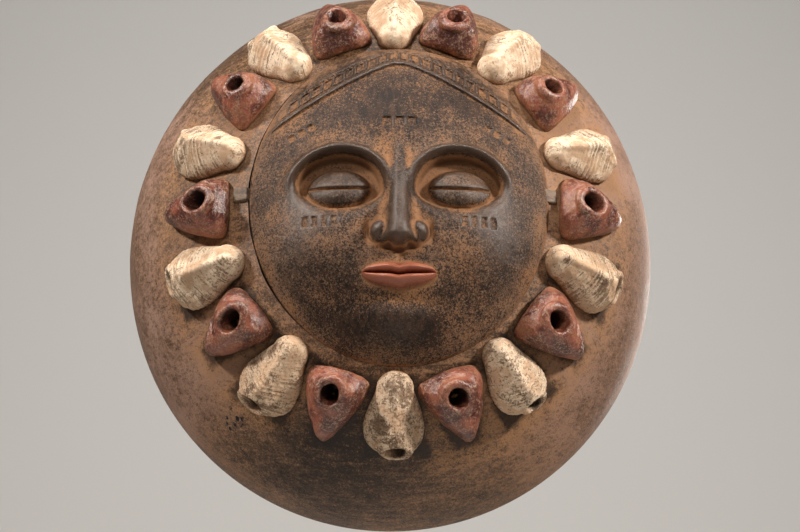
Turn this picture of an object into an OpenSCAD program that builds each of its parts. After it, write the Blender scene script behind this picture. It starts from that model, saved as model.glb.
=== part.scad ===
// Carved wooden wall mask: a hollow domed board, a carved face let into it and a ring of pegged pods.
// +Z is up, +X is to the viewer's right and the face looks along -Y.
// The origin is the centre of the flat back rim, which rests on the wall.
// Each module is drawn lying on its back, with the rim on z = 0, and hung() stands it upright.

/* [Board] */
// Width of the board across its rim
board_w = 350; // [340:1:360]
// Height of the board across its rim
board_h = 377; // [370:1:384]
// Depth of the dome in front of the back rim
dome_d = 119; // [117:1:121]
// Width of the flat rim that rests on the wall
rim_w = 18; // [15:1:20]
// Depth of the hollow behind the dome
hollow_d = 84; // [80:1:85]
// Diameter of the nail hole in the back rim
hang_hole_d = 6; // [4:1:8]
// Depth of the nail hole in the back rim
hang_hole_depth = 12; // [8:1:14]

/* [Face] */
// Width of the face block
face_w = 191; // [188:1:192]
// Height of the face block
face_h = 220; // [216:1:221]
// Sideways place of the face block's centre
face_x = 6; // [4:1:7]
// Upward place of the face block's centre
face_y = 2; // [0:1:3]
// Height of the seat that the face block rests on
seat_z = 88; // [87:1:89]
// Height of the brow above the back rim
face_top = 131; // [128:1:134]
// Width of the window that the face block's back fills
window_w = 143; // [140:1:146]
// Height of the window that the face block's back fills
window_h = 171; // [168:1:174]
// Gap between the face block and its pocket
joint_gap = 0.25; // [0.2:0.05:0.4]

/* [Pods] */
// Width of the ring that the pods stand on
ring_w = 242; // [241:1:244]
// Height of the ring that the pods stand on
ring_h = 262; // [261:1:264]
// Sideways place of the ring's centre
ring_x = 3; // [2:1:4]
// Height of a red pod
red_h = 20; // [18:1:22]
// Diameter of the hole at a red pod's summit
red_hole_d = 9; // [7:1:10]
// Height of a white pod
white_h = 18; // [17:1:20]
// Diameter of the hole at a white pod's outer end
white_hole_d = 8; // [6:1:9]
// Diameter of the round foot under a pod
foot_d = 26; // [24:1:28]
// Depth of a pod's seat in the board
foot_depth = 5; // [4:1:6]

/* [Pegs and tabs] */
// Diameter of the dowels
peg_d = 8; // [6:1:9]
// Length of a pod's dowel
pod_peg_len = 23; // [20:1:24]
// Length of a face dowel
face_peg_len = 20; // [18:1:22]
// Length of an ear tab, across the joint
tab_len = 10; // [8:1:10]
// Width of an ear tab
tab_w = 9; // [7:1:11]
// Thickness of an ear tab
tab_t = 9; // [7:1:10]

/* [Hidden] */
red_count = 10;
pod_count = 2 * red_count;
pod_step = 360 / pod_count;
face_peg_count = 6;

function two_digits(i) = i < 10 ? str("0", i) : str(i);
RED = [for (i = [1 : red_count]) str("red_pod_", two_digits(i))];
WHITE = [for (i = [1 : red_count]) str("white_pod_", two_digits(i))];

$fn = 96;
hull_fn = 22;
eps = 0.5;

board_a = board_w / 2;
board_b = board_h / 2;
hollow_a = board_a - rim_w;
hollow_b = board_b - rim_w;
face_a = face_w / 2;
face_b = face_h / 2;

// The face block: a shallow ellipsoid that is wider than the block, so the block keeps a low side wall
face_spread = 1.15;
face_base_z = 75;
face_back_z = seat_z - 12;
face_hollow = [62, 76, 36];

// Features of the face on plain classical proportions, from the face block's centre
eye_x = face_w / 5;
eye_w = face_w / 5;
brow_r = 0.68 * eye_w;
chin_y = -0.95 * face_b;
brow_y = 0.2 * face_b;
nose_y = (brow_y + chin_y) / 2;
mouth_y = nose_y + (chin_y - nose_y) / 3;
face_tilt = 12;

// Where the face dowels stand: midway between the window and the edge of the face block
face_peg_a = (face_a + window_w / 2) / 2;
face_peg_b = (face_b + window_h / 2) / 2;
face_peg_z = 78;

pod_peg_down = 17;

tab_y = 6.8;
tab_tilt = 24;
tab_left_x = -93.9;
tab_right_x = 100.5;
tab_rise = 2;

board_wood = "#8a6344";
face_wood = "#3b322d";
red_paint = "#7a3128";
white_clay = "#d8c7a0";
peg_wood = "#b08a5a";

// Height of the dome's outer surface over a point of the back plane
function dome_z(x, y) = dome_d * sqrt(1 - pow(x / board_a, 2) - pow(y / board_b, 2));

// Direction in which the dome's outer surface faces at a point
function dome_out(x, y) = [x / pow(board_a, 2), y / pow(board_b, 2), dome_z(x, y) / pow(dome_d, 2)];

// Height of the face block's outer surface, from the face block's own centre
function face_z(x, y) = face_base_z + (face_top - face_base_z)
    * sqrt(1 - pow(x / (face_spread * face_a), 2) - pow(y / (face_spread * face_b), 2));

// Stands a shape that lies on its back upright, with its face along -Y
module hung() {
    rotate([90, 0, 0]) children();
}

module ellipsoid(a, b, c) {
    scale([a, b, c]) sphere(r = 1);
}

module ellipse_post(a, b, h) {
    scale([a, b, 1]) cylinder(r = 1, h = h);
}

// Puts a shape on the dome at a place of the ring: its +X runs outwards and its +Z stands off the dome
module on_ring(place) {
    turn = place * pod_step;
    x = ring_x + ring_w / 2 * sin(turn);
    y = ring_h / 2 * cos(turn);
    out = dome_out(x, y);
    translate([x, y, dome_z(x, y)])
        rotate([0, acos(out.z / norm(out)), atan2(out.y, out.x)])
            children();
}

module at_face() {
    translate([face_x, face_y, 0]) children();
}

// The upright stretch of each face dowel, at its six places
module face_peg_places() {
    for (i = [0 : face_peg_count - 1]) {
        turn = (i + 0.5) * 360 / face_peg_count;
        translate([face_peg_a * sin(turn), face_peg_b * cos(turn), face_peg_z]) children();
    }
}

module peg(len) {
    cylinder(d = peg_d, h = len);
}

module tab_block(x) {
    translate([x, tab_y, dome_z(x, tab_y) + tab_rise - tab_t / 2])
        rotate([0, sign(x) * tab_tilt, 0])
            cube([tab_len, tab_w, tab_t], center = true);
}

module board() {
    color(board_wood) hung() difference() {
        intersection() {
            ellipsoid(board_a, board_b, dome_d);
            translate([-board_w, -board_h, 0]) cube([2 * board_w, 2 * board_h, dome_d + eps]);
        }
        ellipsoid(hollow_a, hollow_b, hollow_d);
        at_face() {
            translate([0, 0, seat_z])
                ellipse_post(face_a + joint_gap, face_b + joint_gap, dome_d);
            translate([0, 0, face_base_z - 20])
                ellipse_post(window_w / 2, window_h / 2, dome_d);
            face_peg_places() peg(face_peg_len);
        }
        for (place = [0 : pod_count - 1]) on_ring(place) {
            translate([0, 0, -foot_depth]) cylinder(d = foot_d, h = 4 * foot_depth);
            translate([0, 0, -pod_peg_down]) peg(pod_peg_len);
        }
        tab_block(tab_left_x);
        tab_block(tab_right_x);
        translate([0, board_b - rim_w / 2, -eps])
            cylinder(d = hang_hole_d, h = hang_hole_depth + eps);
    }
}

// The bulging block with its plug, before the features and the hollow
module face_block() {
    intersection() {
        union() {
            translate([0, 0, seat_z]) ellipse_post(face_a, face_b, dome_d);
            translate([0, 0, face_back_z])
                ellipse_post(window_w / 2 - joint_gap, window_h / 2 - joint_gap, dome_d);
        }
        translate([0, 0, face_base_z])
            ellipsoid(face_spread * face_a, face_spread * face_b, face_top - face_base_z);
    }
}

module eye(side) {
    translate([side * eye_x, 0, face_z(eye_x, 0) - 4])
        rotate([0, side * face_tilt, 0])
            ellipsoid(eye_w / 2, 0.27 * eye_w, 8);
}

module socket(side) {
    translate([side * eye_x, 2, face_z(eye_x, 0) + 3])
        rotate([0, side * face_tilt, 0])
            ellipsoid(0.62 * eye_w, 0.46 * eye_w, 12);
}

module brow(side) {
    translate([side * eye_x, 0, face_z(eye_x, brow_r) - 2])
        rotate([0, side * face_tilt, 0])
            rotate([0, 0, 5]) rotate_extrude(angle = 170)
                translate([brow_r, 0]) circle(r = 4);
}

module nose() {
    wing_x = eye_w / 3;
    hull() {
        translate([0, brow_y, face_z(0, brow_y)]) sphere(r = 4, $fn = hull_fn);
        translate([0, nose_y + 8, face_top + 10]) sphere(r = 9, $fn = hull_fn);
        for (side = [-1, 1])
            translate([side * wing_x, nose_y + 5, face_top - 2]) sphere(r = 6, $fn = hull_fn);
    }
}

module lip(y, a, b) {
    translate([0, y, face_z(0, y) - 1]) ellipsoid(a, b, 6);
}

module face() {
    color(face_wood) hung() difference() {
        at_face() difference() {
            union() {
                difference() {
                    face_block();
                    socket(-1);
                    socket(1);
                }
                eye(-1);
                eye(1);
                brow(-1);
                brow(1);
                nose();
                lip(mouth_y + 4, 0.5 * eye_w, 4.5);
                lip(mouth_y - 4, 0.42 * eye_w, 5);
                translate([0, chin_y + 14, face_z(0, chin_y + 14) - 3]) ellipsoid(26, 15, 9);
            }
            translate([0, 0, face_back_z]) ellipsoid(face_hollow.x, face_hollow.y, face_hollow.z);
            face_peg_places() peg(face_peg_len);
        }
        tab_block(tab_left_x);
        tab_block(tab_right_x);
    }
}

module ear_tab_left() {
    color(face_wood) hung() tab_block(tab_left_x);
}

module ear_tab_right() {
    color(face_wood) hung() tab_block(tab_right_x);
}

// A pod's body above the dome, with its round foot and the hole for its dowel
module pod(extra_depth = 0) {
    difference() {
        union() {
            intersection() {
                children(0);
                translate([-board_w / 2, -board_w / 2, 0]) cube([board_w, board_w, 3 * red_h]);
            }
            translate([0, 0, -foot_depth]) cylinder(d = foot_d, h = foot_depth + 1);
        }
        translate([0, 0, -pod_peg_down]) peg(pod_peg_len);
        children(1);
    }
}

// A blunt three-sided cone: broad at the inner end, with a keel down to a point at the outer end
module red_pod(place) {
    summit_x = -8;
    summit_r = 9;
    color(red_paint) hung() on_ring(place) pod() {
        hull() {
            for (side = [-1, 1]) translate([-9, 8 * side, 4]) sphere(r = 12, $fn = hull_fn);
            translate([summit_x, 0, red_h - summit_r]) sphere(r = summit_r, $fn = hull_fn);
            translate([27, 0, 3]) sphere(r = 6, $fn = hull_fn);
        }
        translate([summit_x, 0, red_h - 9]) cylinder(d = red_hole_d, h = 12);
    }
}

// A ridge-backed pod: narrow at the inner end, with a hole in its broad outer end
module white_pod(place) {
    color(white_clay) hung() on_ring(place) pod() {
        hull() {
            for (side = [-1, 1]) translate([-11, 2 * side, 4]) sphere(r = 10, $fn = hull_fn);
            for (side = [-1, 1]) translate([13, 8 * side, 3]) sphere(r = 11.5, $fn = hull_fn);
            for (x = [-9, 16]) translate([x, 0, white_h - 7]) sphere(r = 7, $fn = hull_fn);
            translate([23, 0, 4]) sphere(r = 8, $fn = hull_fn);
        }
        translate([23, 0, 8]) rotate([0, 60, 0]) cylinder(d = white_hole_d, h = 14);
    }
}

module pod_pegs() {
    color(peg_wood) hung() for (place = [0 : pod_count - 1])
        on_ring(place) translate([0, 0, -pod_peg_down]) peg(pod_peg_len);
}

module face_pegs() {
    color(peg_wood) hung() at_face() face_peg_places() peg(face_peg_len);
}

board();
face();
ear_tab_left();
ear_tab_right();
for (i = [0 : red_count - 1]) red_pod(2 * i + 1);
for (i = [0 : red_count - 1]) white_pod(2 * i);
pod_pegs();
face_pegs();
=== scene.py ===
"""The looks of a carved wooden mask: a domed board, a face let into it and a ring of twenty pods.

Shapes are worked out lying on their back in millimetres, with x to the right, y up the mask and z out of its
back rim, and are stood up in metres at the end.
"""

import itertools
import math

import bpy
import numpy as np
import openvdb
from mathutils import Matrix, Vector


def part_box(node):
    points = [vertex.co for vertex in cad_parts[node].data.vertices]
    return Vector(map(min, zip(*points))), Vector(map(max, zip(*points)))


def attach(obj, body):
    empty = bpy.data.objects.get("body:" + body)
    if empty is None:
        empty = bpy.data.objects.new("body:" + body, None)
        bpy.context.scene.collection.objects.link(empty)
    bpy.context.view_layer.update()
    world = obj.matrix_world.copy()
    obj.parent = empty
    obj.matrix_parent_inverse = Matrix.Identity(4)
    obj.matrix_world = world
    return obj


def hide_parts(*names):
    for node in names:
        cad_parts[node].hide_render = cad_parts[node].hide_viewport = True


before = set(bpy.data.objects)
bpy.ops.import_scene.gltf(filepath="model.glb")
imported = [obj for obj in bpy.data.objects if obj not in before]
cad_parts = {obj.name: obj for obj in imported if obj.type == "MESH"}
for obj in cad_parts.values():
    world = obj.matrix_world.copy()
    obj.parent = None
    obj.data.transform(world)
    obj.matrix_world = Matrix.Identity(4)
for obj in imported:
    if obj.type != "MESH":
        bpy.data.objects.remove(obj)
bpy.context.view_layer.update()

MM = 0.001

# ---- sizes, in mm, as in the CAD model

board_low, board_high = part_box("board")
BOARD_A = (board_high.x - board_low.x) / 2 / MM
BOARD_B = (board_high.z - board_low.z) / 2 / MM
DOME_D = 119.0
RIM_W = 18.0
HOLLOW_A = BOARD_A - RIM_W
HOLLOW_B = BOARD_B - RIM_W
HOLLOW_D = 84.0

face_low, face_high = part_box("face")
FACE_X = (face_high.x + face_low.x) / 2 / MM
FACE_Y = (face_high.z + face_low.z) / 2 / MM
FACE_A = (face_high.x - face_low.x) / 2 / MM
FACE_B = (face_high.z - face_low.z) / 2 / MM
SEAT_Z = 88.0
FACE_BACK_Z = 76.0
FACE_TOP = 131.0
WINDOW_A = 71.5
WINDOW_B = 85.5
FACE_HOLLOW = (62.0, 76.0, 36.0)

RING_A = 121.0
RING_B = 131.0
RING_X = 3.0
POD_COUNT = 20
RED_H = 20.0


# ---- numbers and noise


def smooth(low, high, value):
    """0 below low, 1 above high and an S-curve between them."""
    t = np.clip((value - low) / (high - low), 0.0, 1.0)
    return t * t * (3 - 2 * t)


def mix(a, b, t):
    """a where t is 0, b where t is 1."""
    return a + (b - a) * t


def bell(value, width):
    """1 at zero, falling to nothing about two widths away."""
    return np.exp(-((value / width) ** 2))


def blob(x, y, a, b):
    """1 in the middle, falling to nothing about two sizes a and b away."""
    return bell(np.hypot(x / a, y / b), 1)


def soft_max(a, b, k):
    """The larger of two fields, with the edge between them rounded over k."""
    h = np.clip(0.5 + 0.5 * (a - b) / k, 0, 1)
    return mix(b, a, h) + k * h * (1 - h)


def soft_min(a, b, k):
    """The smaller of two fields, with the edge between them rounded over k."""
    return -soft_max(-a, -b, k)


def lattice(ix, iy, iz, seed):
    """A repeatable random number from 0 to 1 for each whole-number place."""
    low_bits = 0xFFFFFFFF
    h = (ix * 374761393 + iy * 668265263 + iz * 1274126177 + seed * 974711) & low_bits
    h = ((h ^ (h >> 13)) * 1274126177) & low_bits
    return (h ^ (h >> 16)) / low_bits


def corner_weights(f):
    """Each corner of a cell with its weight at f, places from 0 to 1 inside the cell."""
    for corner in itertools.product((0, 1), repeat=3):
        weight = 1.0
        for axis, step in enumerate(corner):
            weight = weight * (f[:, axis] if step else 1 - f[:, axis])
        yield corner, weight


def noise(points, size, seed=0):
    """Smooth noise from -1 to 1 whose lumps are about size across."""
    p = points / size
    cell = np.floor(p).astype(np.int64)
    f = p - cell
    f = f * f * (3 - 2 * f)
    total = 0.0
    for corner, weight in corner_weights(f):
        total = total + weight * lattice(*(cell[:, i] + corner[i] for i in range(3)), seed)
    return 2 * total - 1


def layered(points, size, seed=0, layers=3):
    """Noise with finer and weaker layers added."""
    total = sum(noise(points, size / 2**i, seed + 17 * i) / 2**i for i in range(layers))
    return total / (2 - 2 ** (1 - layers))


def gouges(points, size, seed=0):
    """Distance in cells from the nearest of a crowd of places: 0 in a scallop's middle, 1 at its edge."""
    p = points / size
    cell = np.floor(p).astype(np.int64)
    nearest = np.full(len(p), 9.0)
    for step in itertools.product((-1, 0, 1), repeat=3):
        c = cell + np.array(step)
        place = np.stack([c[:, i] + lattice(c[:, 0], c[:, 1], c[:, 2], seed + i) for i in range(3)], axis=1)
        nearest = np.minimum(nearest, ((place - p) ** 2).sum(axis=1))
    return np.sqrt(nearest)


# ---- meshes


def link(obj):
    """Puts an object in the scene."""
    bpy.context.scene.collection.objects.link(obj)
    return obj


def stood_up(points):
    """From lying on the back in mm to hanging upright in metres."""
    return np.stack([points[:, 0], -points[:, 2], points[:, 1]], axis=1) * MM


def outward(points, faces):
    """Turns the faces over if they look inwards."""
    a, b, c = (points[faces[:, i]] for i in range(3))
    volume = (a * np.cross(b, c)).sum()
    if faces.shape[1] == 4:
        volume += (a * np.cross(c, points[faces[:, 3]])).sum()
    return faces[:, ::-1] if volume < 0 else faces


def make_object(name, points, face_sets, attributes, material):
    """A smooth-shaded object from points lying on their back and arrays of faces that look outwards."""
    mesh = bpy.data.meshes.new(name)
    corners = np.concatenate([f.ravel() for f in face_sets]).astype(np.int32)
    sizes = np.concatenate([np.full(len(f), f.shape[1]) for f in face_sets])
    starts = np.concatenate([[0], np.cumsum(sizes)[:-1]]).astype(np.int32)
    mesh.vertices.add(len(points))
    mesh.vertices.foreach_set("co", stood_up(points).astype(np.float32).ravel())
    mesh.loops.add(len(corners))
    mesh.loops.foreach_set("vertex_index", corners)
    mesh.polygons.add(len(sizes))
    mesh.polygons.foreach_set("loop_start", starts)
    mesh.update(calc_edges=True)
    mesh.validate()
    mesh.shade_smooth()
    mesh.set_sharp_from_angle(angle=math.radians(55))
    for key, values in attributes.items():
        layer = mesh.attributes.new(key, "FLOAT", "POINT")
        layer.data.foreach_set("value", np.asarray(values, np.float32))
    mesh.materials.append(material)
    return link(bpy.data.objects.new(name, mesh))


def normals_of(points, faces):
    """Vertex normals of a mesh of quads."""
    a, b, c, d = (points[faces[:, i]] for i in range(4))
    across = np.cross(c - a, d - b)
    total = np.zeros_like(points)
    for i in range(4):
        for axis in range(3):
            total[:, axis] += np.bincount(faces[:, i], across[:, axis], len(points))
    return total / np.maximum(np.linalg.norm(total, axis=1), 1e-9)[:, None]


def loop_faces(rows, count, closed=False):
    """Quads between neighbouring rows of count points, each row a closed loop."""
    i = np.arange(rows if closed else rows - 1)[:, None]
    j = np.arange(count)[None, :]
    after = (j + 1) % count
    above = (i + 1) % rows
    quads = [i * count + j, i * count + after, above * count + after, above * count + j]
    return np.stack([np.broadcast_to(q, (len(i), count)).ravel() for q in quads], axis=1)


# ---- the dome


def dome_z(x, y):
    """Height of the dome over its rim."""
    return DOME_D * np.sqrt(np.maximum(1 - (x / BOARD_A) ** 2 - (y / BOARD_B) ** 2, 0))


def dome_distance(x, y, z):
    """Distance outside the dome's surface, good close to it."""
    k0 = np.sqrt((x / BOARD_A) ** 2 + (y / BOARD_B) ** 2 + (z / DOME_D) ** 2)
    k1 = np.sqrt((x / BOARD_A**2) ** 2 + (y / BOARD_B**2) ** 2 + (z / DOME_D**2) ** 2)
    return k0 * (k0 - 1) / np.maximum(k1, 1e-9)


class Place:
    """A pod's place on the ring: its origin on the dome and its outward, sideways and standing directions."""

    def __init__(self, number):
        turn = 2 * math.pi * number / POD_COUNT
        x = RING_X + RING_A * math.sin(turn)
        y = RING_B * math.cos(turn)
        z = float(dome_z(x, y))
        out = np.array([x / BOARD_A**2, y / BOARD_B**2, z / DOME_D**2])
        self.up = out / np.linalg.norm(out)
        self.side = np.array([-self.up[1], self.up[0], 0]) / np.hypot(self.up[0], self.up[1])
        self.out = np.cross(self.side, self.up)
        self.origin = np.array([x, y, z])

    def from_world(self, points):
        rel = points - self.origin
        return np.stack([rel @ self.out, rel @ self.side, rel @ self.up], axis=1)

    def to_world(self, points):
        u, t, n = points[:, :1], points[:, 1:2], points[:, 2:3]
        return self.origin + u * self.out + t * self.side + n * self.up


PLACES = [Place(number) for number in range(POD_COUNT)]


# ---- voxel shapes, for the pods


class Block:
    """A box of voxels whose corners and step are in mm."""

    def __init__(self, low, high, step):
        self.low = np.array(low, float)
        self.step = step
        counts = np.ceil((np.array(high) - self.low) / step).astype(int) + 1
        axes = [self.low[i] + step * np.arange(counts[i]) for i in range(3)]
        self.x, self.y, self.z = np.meshgrid(*axes, indexing="ij", sparse=True)
        self.shape = tuple(counts)

    def points(self):
        grid = np.broadcast_arrays(self.x, self.y, self.z)
        return np.stack([g.ravel() for g in grid], axis=1)

    def surface(self, field):
        """Points and quads of the surface where the field is zero."""
        far = 3 * self.step
        grid = openvdb.FloatGrid(far)
        grid.copyFromArray(np.clip(field, -far, far).astype(np.float32))
        grid.transform = openvdb.createLinearTransform(voxelSize=self.step)
        points, quads = grid.convertToQuads(isovalue=0.0)
        points = points.astype(float) + self.low
        return points, outward(points, quads.astype(np.int64))

    def sample(self, field, points):
        """The field's value at each point, blended between its voxels."""
        p = np.clip((points - self.low) / self.step, 0, np.array(self.shape) - 1.001)
        cell = p.astype(int)
        f = p - cell
        total = 0.0
        for corner, weight in corner_weights(f):
            total = total + weight * field[tuple(cell[:, i] + corner[i] for i in range(3))]
        return total


def blurred(field, times):
    """A field blurred along every axis by a short three-point filter, over and over."""
    for _ in range(times):
        for axis in range(field.ndim):
            padded = np.pad(field, [(1, 1) if i == axis else (0, 0) for i in range(field.ndim)], mode="edge")
            n = field.shape[axis]
            before, here, after = (np.take(padded, range(i, i + n), axis=axis) for i in range(3))
            field = (before + 2 * here + after) / 4
    return field


def plane(p, through, towards):
    """Distance in front of a plane, for x, y and z arrays."""
    direction = np.array(towards, float)
    direction /= np.linalg.norm(direction)
    return sum(direction[i] * (p[i] - through[i]) for i in range(3))


def rod(p, a, b, radius_a, radius_b):
    """Distance outside a rod that tapers from one ball to another."""
    a, b = np.array(a, float), np.array(b, float)
    along = b - a
    t = sum(along[i] * (p[i] - a[i]) for i in range(3)) / (along @ along)
    t = np.clip(t, 0, 1)
    away = np.sqrt(sum((p[i] - a[i] - t * along[i]) ** 2 for i in range(3)))
    return away - mix(radius_a, radius_b, t)


def hoop(p, middle, axis, radius, thickness):
    """Distance outside a ring."""
    axis = np.array(axis, float) / np.linalg.norm(axis)
    rel = [p[i] - middle[i] for i in range(3)]
    height = sum(axis[i] * rel[i] for i in range(3))
    flat = np.sqrt(np.maximum(sum(r**2 for r in rel) - height**2, 0))
    return np.hypot(flat - radius, height) - thickness


# ---- pods

POD_STEP = 0.65
LINED_PODS = (7, 13, 19)
POD_SINK = 1.5


def swollen(p, through, towards, middle, bulge, reach):
    """Distance in front of a face that swells out around its middle and falls back towards its edges."""
    away = sum((p[i] - middle[i]) ** 2 for i in range(3))
    return plane(p, through, towards) - bulge * (1 - away / reach**2)


def red_body(p, chance):
    """A swollen three-sided cone with a keel, and an open lip at its summit."""
    wide = 22.5 + chance.uniform(-1, 1)
    tip = np.array([38 + chance.uniform(-2, 1.5), chance.uniform(-2.5, 2.5), 1.0])
    top = (-6 + chance.uniform(-1.5, 1.5), chance.uniform(-1, 1), RED_H - 0.5)
    inner = -20 + chance.uniform(-0.7, 0.7)
    body = plane(p, (0, 0, top[2]), (0.1, 0, 1))
    for side in (-1, 1):
        corner = np.array([-11, side * wide, 2.0])
        lip = np.array([top[0] + 6, top[1] + side * 9, top[2] + 0.5])
        leaning = np.cross(corner - tip, lip - tip) * side
        body = soft_max(body, swollen(p, tip, leaning, (tip + corner + lip) / 3, 3.2, 21), 6)
        body = soft_max(body, plane(p, corner, (0.34, side * 0.75, -0.5)), 4)
        body = soft_max(body, plane(p, (inner + 3, side * wide * 0.8, 3), (-0.62, side * 0.6, 0.3)), 6)
    body = soft_max(body, swollen(p, (inner, 0, 4), (-0.92, 0, 0.42), (inner, 0, 8), 2, 18), 6)
    body = soft_max(body, plane(p, (inner - 1, 0, 4), (-0.8, 0, -0.6)), 4)
    stretch = chance.uniform(1.1, 1.5)
    squeezed = [(p[0] - top[0]) / stretch + top[0], p[1], p[2]]
    lip_r = chance.uniform(7.0, 7.8)
    body = soft_min(body, hoop(squeezed, (top[0], top[1], top[2] - 0.6), (0.1, 0, 1), lip_r, 2.9), 3.5)
    hole = rod(squeezed, (top[0], top[1], 4), (top[0] + 1, top[1], 24), 2.5, lip_r - 0.6)
    body = soft_max(body, -hole, 1.6)
    return body, top, lip_r, (0.1, 0, 1)


def white_body(p, chance):
    """A ridge-backed pod, narrow at its inner end and open at its broad outer end."""
    outer_r = 20.5 + chance.uniform(-0.8, 0.8)
    body = rod(p, (-12, 0, 2.5), (10.5, 0, 0.5), 11.8, outer_r)
    for side in (-1, 1):
        body = soft_max(body, plane(p, (0, 0, 18.2), (-0.1, side * 0.6, 0.8)), 4)
        body = soft_max(body, plane(p, (12, side * (outer_r - 0.5), 2), (0, side * 0.85, -0.5)), 3)
    ridge = rod(p, (-16, chance.uniform(-1, 1), 12.6), (14, chance.uniform(-1, 1), 18.0), 1.5, 2.2)
    body = soft_min(body, ridge, 2.5)
    body = soft_max(body, plane(p, (30.5 + chance.uniform(-1.5, 1), 0, 6), (0.8, 0, 0.6)), 5)
    mouth = (25.0, chance.uniform(-1.5, 1.5), 10.5)
    facing = (0.64, 0, 0.77)
    mouth_r = chance.uniform(5.2, 6.2)
    wide = chance.uniform(1.15, 1.45)
    squeezed = [p[0], (p[1] - mouth[1]) / wide + mouth[1], p[2]]
    body = soft_min(body, hoop(squeezed, mouth, facing, mouth_r, 2.3), 2.5)
    for side in (-1, 1):
        notch = rod(p, (13, mouth[1], 20.5), (23, mouth[1] + side * 9.5, 15.5), 1.0, 1.9)
        body = soft_max(body, -notch, 1.5)
    inside = tuple(mouth[i] - 12 * facing[i] for i in range(3))
    outside = tuple(mouth[i] + 5 * facing[i] for i in range(3))
    body = soft_max(body, -rod(squeezed, inside, outside, 1.8, mouth_r + 0.2), 1.4)
    return body, mouth, mouth_r, facing


def pod_carving(points, number, kind, chance, arc, from_mouth):
    """How far tool marks push each point out: rings and pits on a white pod, cut lines on a red one."""
    facets = gouges(points, 7.0, number) ** 2
    push = 0.4 * (facets - 0.35) + 0.12 * noise(points, 1.6, number + 5) + 0.2 * noise(points, 4, number + 9)
    if kind == "white":
        rings = np.cos(2 * math.pi * arc / 2.9)
        regular = 1 - 0.7 * bell(number - POD_COUNT / 2, 3)
        ridges = 0.25 * regular * rings * smooth(-6, 8, points[:, 0]) * smooth(1.2, 2.0, from_mouth)
        push += ridges * (1 + noise(points, 9, 3))
        pits = 0.5 * (1 - regular) * smooth(0.5, 0.15, gouges(points, 2.6, number))
        push -= pits * smooth(1.1, 1.6, from_mouth)
    else:
        flank = 1 if number < POD_COUNT / 2 else -1
        lines = (13.0, 17.0, 20.5) if number in LINED_PODS else (chance.uniform(12, 22),)
        for start in lines:
            line = points[:, 0] + 0.5 * flank * points[:, 1] + 0.8 * noise(points, 9, number) - start
            depth = 1.1 if number in LINED_PODS else 0.5
            push -= depth * bell(line, 0.8) * smooth(1, 5, flank * points[:, 1])
    return push


def make_pod(name, number, kind, material):
    """A pod carved in voxels at its place on the ring, with its foot cut to the dome."""
    chance = np.random.RandomState(100 + number)
    place = PLACES[number]
    block = Block((-30, -29, -7), (42, 29, 26), POD_STEP)
    spin = chance.uniform(-0.07, 0.07)
    scale = chance.uniform(0.96, 1.03)
    p = [
        (block.x * math.cos(spin) + block.y * math.sin(spin)) / scale,
        (block.y * math.cos(spin) - block.x * math.sin(spin)) / scale,
        block.z / scale,
    ]
    body, mouth, mouth_r, facing = (red_body if kind == "red" else white_body)(p, chance)
    body = np.broadcast_to(body, block.shape) * scale
    flat = block.points()
    world = place.to_world(flat)
    above = dome_distance(*world.T).reshape(block.shape)
    inside_mouth = bell(np.linalg.norm(flat - np.array(mouth), axis=1), 1.3 * mouth_r)
    rough = 0.28 * noise(flat, 9, number) + 0.7 * inside_mouth * layered(flat, 5, number + 3, 2)
    solid = soft_max(body + rough.reshape(block.shape), -(above + POD_SINK), 0.5)
    points, quads = block.surface(solid)
    normals = normals_of(points, quads)
    axis = np.array(facing) / np.linalg.norm(facing)
    away = points - np.array(mouth)
    lift = away @ axis
    sideways = np.linalg.norm(away - lift[:, None] * axis, axis=1)
    from_mouth = np.hypot(sideways, np.maximum(lift, 0)) / mouth_r
    arc = np.hypot(points[:, 0] + 22, 0.85 * points[:, 1]) + 1.3 * noise(points, 13, number)
    push = pod_carving(points, number, kind, chance, arc, from_mouth)
    calm = smooth(0.0, 2.0, block.sample(above, points))
    hollow = -block.sample(blurred(np.clip(solid, -8, 8), 6), points) / 1.3
    points = points + normals * (push * calm)[:, None]
    attributes = {
        "along": points[:, 0] / 30,
        "across": points[:, 1] / 20,
        "arc": arc / 10,
        "height": block.sample(above, points) / 20,
        "hollow": hollow,
        "mouth": from_mouth,
        "pitted": np.full(len(points), bell(number - POD_COUNT / 2, 3)),
        # A random tone for each pod, plus a rise towards the bottom of the ring that darkens the lower white
        # pods as painted shade.
        "age_and_low_shade": np.full(len(points), chance.uniform(-0.12, 0.12) - 0.2 * place.origin[1] / RING_B),
    }
    world = place.to_world(points)
    pod = make_object(name, world, [outward(world, quads)], attributes, material)
    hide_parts(name.replace("carved_", ""))
    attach(pod, "root")
    return pod


# ---- board

BOARD_TURNS = 460
POCKET_GAP = 0.1


def ellipse(a, b, count, x=0.0, y=0.0):
    """Count places round an upright ellipse."""
    turn = 2 * math.pi * np.arange(count) / count
    return np.stack([x + a * np.sin(turn), y + b * np.cos(turn)], axis=1)


def near_pods(points):
    """Distance in mm from the pods' outlines, below zero under a pod."""
    nearest = np.full(len(points), 99.0)
    for number, place in enumerate(PLACES):
        u, t, n = place.from_world(points).T
        inner, outer = (20, 5) if number % 2 else (12, 19)
        half = mix(inner, outer, np.clip((u + 17) / 48, 0, 1))
        away = np.maximum(np.abs(t) - half, np.abs(u - 7) - 24)
        nearest = np.minimum(nearest, np.where(np.abs(n) < 30, away, 99))
    return nearest


def near_face(points):
    """Distance in mm outside the face block's outline."""
    x, y = points[:, 0] - FACE_X, points[:, 1] - FACE_Y
    return (np.hypot(x / FACE_A, y / FACE_B) - 1) * FACE_A


def shrinkage(x, y):
    """How far the joint around the face has opened on its left side."""
    return 0.8 * smooth(0.5, 0.85, -x / FACE_A) * (1 + 0.5 * np.sin(y / 7) * np.sin(y / 17 + 1))


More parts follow.
